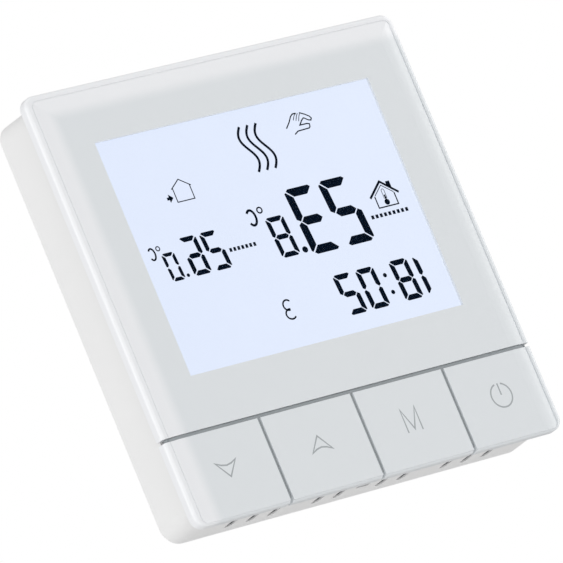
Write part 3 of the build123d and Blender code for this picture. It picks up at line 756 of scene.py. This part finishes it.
def handMark():
    # an open hand: wrist, knuckles, three creases, thumb
    lines = [
        [(10.05, 25.85), (11.2, 26.95), (12.0, 27.95), (12.6, 28.35), (13.4, 28.35)],
        arcPoints((12.9, 27.35), 1.0, 60, 130, 8),
        [(14.2, 28.3), (15.3, 27.75), (16.1, 27.2), (16.4, 26.75), (16.1, 26.35), (15.5, 26.55), (14.7, 27.15)],
        [(14.7, 27.15), (14.1, 26.75), (13.25, 25.9), (14.9, 25.9), (15.45, 25.75), (15.35, 25.2), (15.05, 24.95),
         (12.3, 24.85), (11.4, 24.35)],
    ]
    shapes = []
    for line in lines:
        shapes += stroke(line, 0.24)
    for index in range(3):
        x = 12.25 + index * 0.55
        shapes += stroke([(x, 27.1 - index * 0.2), (x + 0.55, 27.9 - index * 0.1), (x + 1.0, 28.3)], 0.15)
    return shapes


captionSizes = {"Block": 0.62, "Height": 0.75 * mm, "Thickness": 0.2 * mm}
# rows of blocks where a caption would be: left end, right end, foot and count
captions = [(-13.1, -6.55, 5.35, 7), (20.4, 29.6, 4.75, 9)]


def captionBlocks(middleY, thickness, nudge):
    tree = Growth("captionBlocks", {**captionSizes, "Thickness": thickness})
    rows = []
    for left, right, foot, count in captions:
        (x, z), (endX, _) = fitted([(left, foot), (right, foot)], nudge)
        pitch = (endX - x) / count * mm
        size = tree.vector(tree.size("Block") * pitch, tree.size("Thickness"), tree.size("Height"))
        block = tree.cube(size, tree.vector(tree.size("Block") * pitch * 0.5, 0.0, tree.size("Height") * 0.5))
        rows.append(tree.row(block, count, (x * mm, middleY, z * mm), (pitch, 0.0, 0.0)))
    return tree.grow(tree.merge(rows), segmentBlack, "front_unit", "lcd_glass")


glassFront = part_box("lcd_panel")[0].y
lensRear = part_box("display_window")[1].y
markGap = (glassFront - lensRear) / 4
marks = displayMarks() + degreeMark((-5.5, 10.7), 0.56, 0.95, 3.05, 0.5)
marks += degreeMark((-29.85, 8.5), 0.42, 0.68, 2.3, 0.36)
marks += weekdayMark() + heatMark() + homeMark(-17.83, 17.0, 3.95, 4.3, 0.2) + arrowMark(-21.85, 18.05)
marks += roomMark() + handMark()
# they lie a little deeper than the face, so they are drawn nudged towards where the eye puts them
markNudge = (0.34, 0.15)
slab("displaySegments", marks, lensRear + markGap, glassFront - markGap, segmentBlack, "front_unit",
     markNudge)
captionBlocks((lensRear + glassFront) / 2, glassFront - lensRear - 2 * markGap, markNudge)
print("display done")


# marks printed on the keys

legendLook = {"color": (0.36, 0.385, 0.40), "weight": 0.30, "height": 0.02, "proud": 0.006}


def legendInk():
    finish = Finish("legendInk", legendLook["color"], 0.55)
    speckle = finish.noise(0.3, 2.0)
    finish.feed("Base Color", finish.mix(speckle, legendLook["color"], tuple(v * 1.08 for v in legendLook["color"])))
    finish.bump(speckle, 0.002)
    return finish


def arrowHead(centre, up):
    # a triangle whose flat side bows inwards
    x, z = centre
    half, tall, sag = 2.32, 1.5, 0.75
    base = [(-half, -tall), (-half * 0.5, sag * 0.7 - tall), (0, sag - tall), (half * 0.5, sag * 0.7 - tall),
            (half, -tall)]
    outline = [(x + dx, z + dz * up) for dx, dz in base + [(0, tall)]]
    return stroke(outline, legendLook["weight"], True)


def keyLegends():
    weight = legendLook["weight"]
    letter = [(8.85, -36.6), (8.85, -31.95), (10.55, -36.1), (12.25, -31.95), (12.25, -36.6)]
    ring = stroke(arcPoints((32.35, -34.27), 2.38, 107, 433, 40), weight)
    ring += stroke([(32.35, -31.85), (32.35, -34.2)], weight)
    return {"down": arrowHead((-32.6, -34.2), -1), "up": arrowHead((-11.1, -34.05), 1),
            "menu": stroke(letter, weight), "power": ring}


legendGrey = legendInk()
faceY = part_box("key_menu")[0].y
for keyName, shapes in keyLegends().items():
    slab("legend_" + keyName, shapes, faceY - legendLook["proud"] * mm, faceY + legendLook["height"] * mm, legendGrey,
         keyName + "_key")
print("legends done")


# camera, lights and floor

view = {"place": (-0.86753, -1.17624, -0.29374), "aim": (-0.00487, -0.0133, -0.00255), "roll": 22.6466,
        "lens": 514.23}
studio = {"sky": 0.455, "floorLevel": -0.45}
# each softbox: where it stands as a turn from straight ahead and a height in degrees, its distance, size and level
softboxes = {
    "leftPanel": {"turn": -90, "rise": 0, "away": 1.2, "size": (1.1, 1.4), "level": 0.54},
    "topPanel": {"turn": 0, "rise": 80, "away": 1.2, "size": (0.9, 0.3), "level": 0.16},
    "frontPanel": {"turn": -20, "rise": 5, "away": 1.6, "size": (0.9, 0.9), "level": 0.21},
    "rightPanel": {"turn": 72, "rise": 12, "away": 1.2, "size": (0.9, 1.2), "level": 0.50},
    "lowPanel": {"turn": 90, "rise": -30, "away": 1.2, "size": (0.6, 0.6), "level": 0.07},
}


def makeCamera():
    data = bpy.data.cameras.new("studioCamera")
    data.sensor_width = 36.0
    data.lens = view["lens"]
    data.clip_start = 0.01
    camera = bpy.data.objects.new("studioCamera", data)
    scene.collection.objects.link(camera)
    forward = (Vector(view["aim"]) - Vector(view["place"])).normalized()
    upright = forward.to_track_quat("-Z", "Y").to_matrix()
    turned = upright @ Matrix.Rotation(math.radians(-view["roll"]), 3, "Z")
    camera.matrix_world = Matrix.Translation(view["place"]) @ turned.to_4x4()
    scene.camera = camera


def makeSoftbox(name, box):
    # level is the brightness that it gives a white face turned towards it
    data = bpy.data.lights.new(name, "AREA")
    data.shape = "RECTANGLE"
    data.size, data.size_y = box["size"]
    data.energy = box["level"] * (math.pi * box["away"]) ** 2
    lamp = bpy.data.objects.new(name, data)
    scene.collection.objects.link(lamp)
    turn, rise = math.radians(box["turn"]), math.radians(box["rise"])
    outward = Vector((math.sin(turn) * math.cos(rise), -math.cos(turn) * math.cos(rise), math.sin(rise)))
    lamp.location = outward * box["away"]
    lamp.rotation_euler = (-outward).to_track_quat("-Z", "Y").to_euler()


def makeWorld():
    # white to the eye, softer as a light
    world = bpy.data.worlds.new("studioWorld")
    scene.world = world
    world.use_nodes = True
    tree = world.node_tree
    backdrop = tree.nodes["Background"]
    seen = tree.nodes.new("ShaderNodeLightPath")
    level = tree.nodes.new("ShaderNodeMapRange")
    level.inputs["To Min"].default_value = studio["sky"]
    level.inputs["To Max"].default_value = 1.0
    tree.links.new(seen.outputs["Is Camera Ray"], level.inputs["Value"])
    tree.links.new(level.outputs["Result"], backdrop.inputs["Strength"])
    backdrop.inputs["Color"].default_value = (1.0, 1.0, 1.0, 1.0)


def makeFloor():
    mesh = bpy.data.meshes.new("studioFloor")
    half, level = 3.0, studio["floorLevel"]
    corners = [(-half, -half, level), (half, -half, level), (half, half, level), (-half, half, level)]
    mesh.from_pydata(corners, [], [(0, 1, 2, 3)])
    floor = bpy.data.objects.new("studioFloor", mesh)
    scene.collection.objects.link(floor)
    finish = Finish("studioPaper", (0.86, 0.86, 0.86), 0.8)
    finish.bump(finish.noise(1.2, 3.0), 0.02)
    mesh.materials.append(finish.material)


makeCamera()
makeWorld()
makeFloor()
for panelName, panel in softboxes.items():
    makeSoftbox(panelName, panel)
scene.view_settings.view_transform = "Standard"
print("studio done")
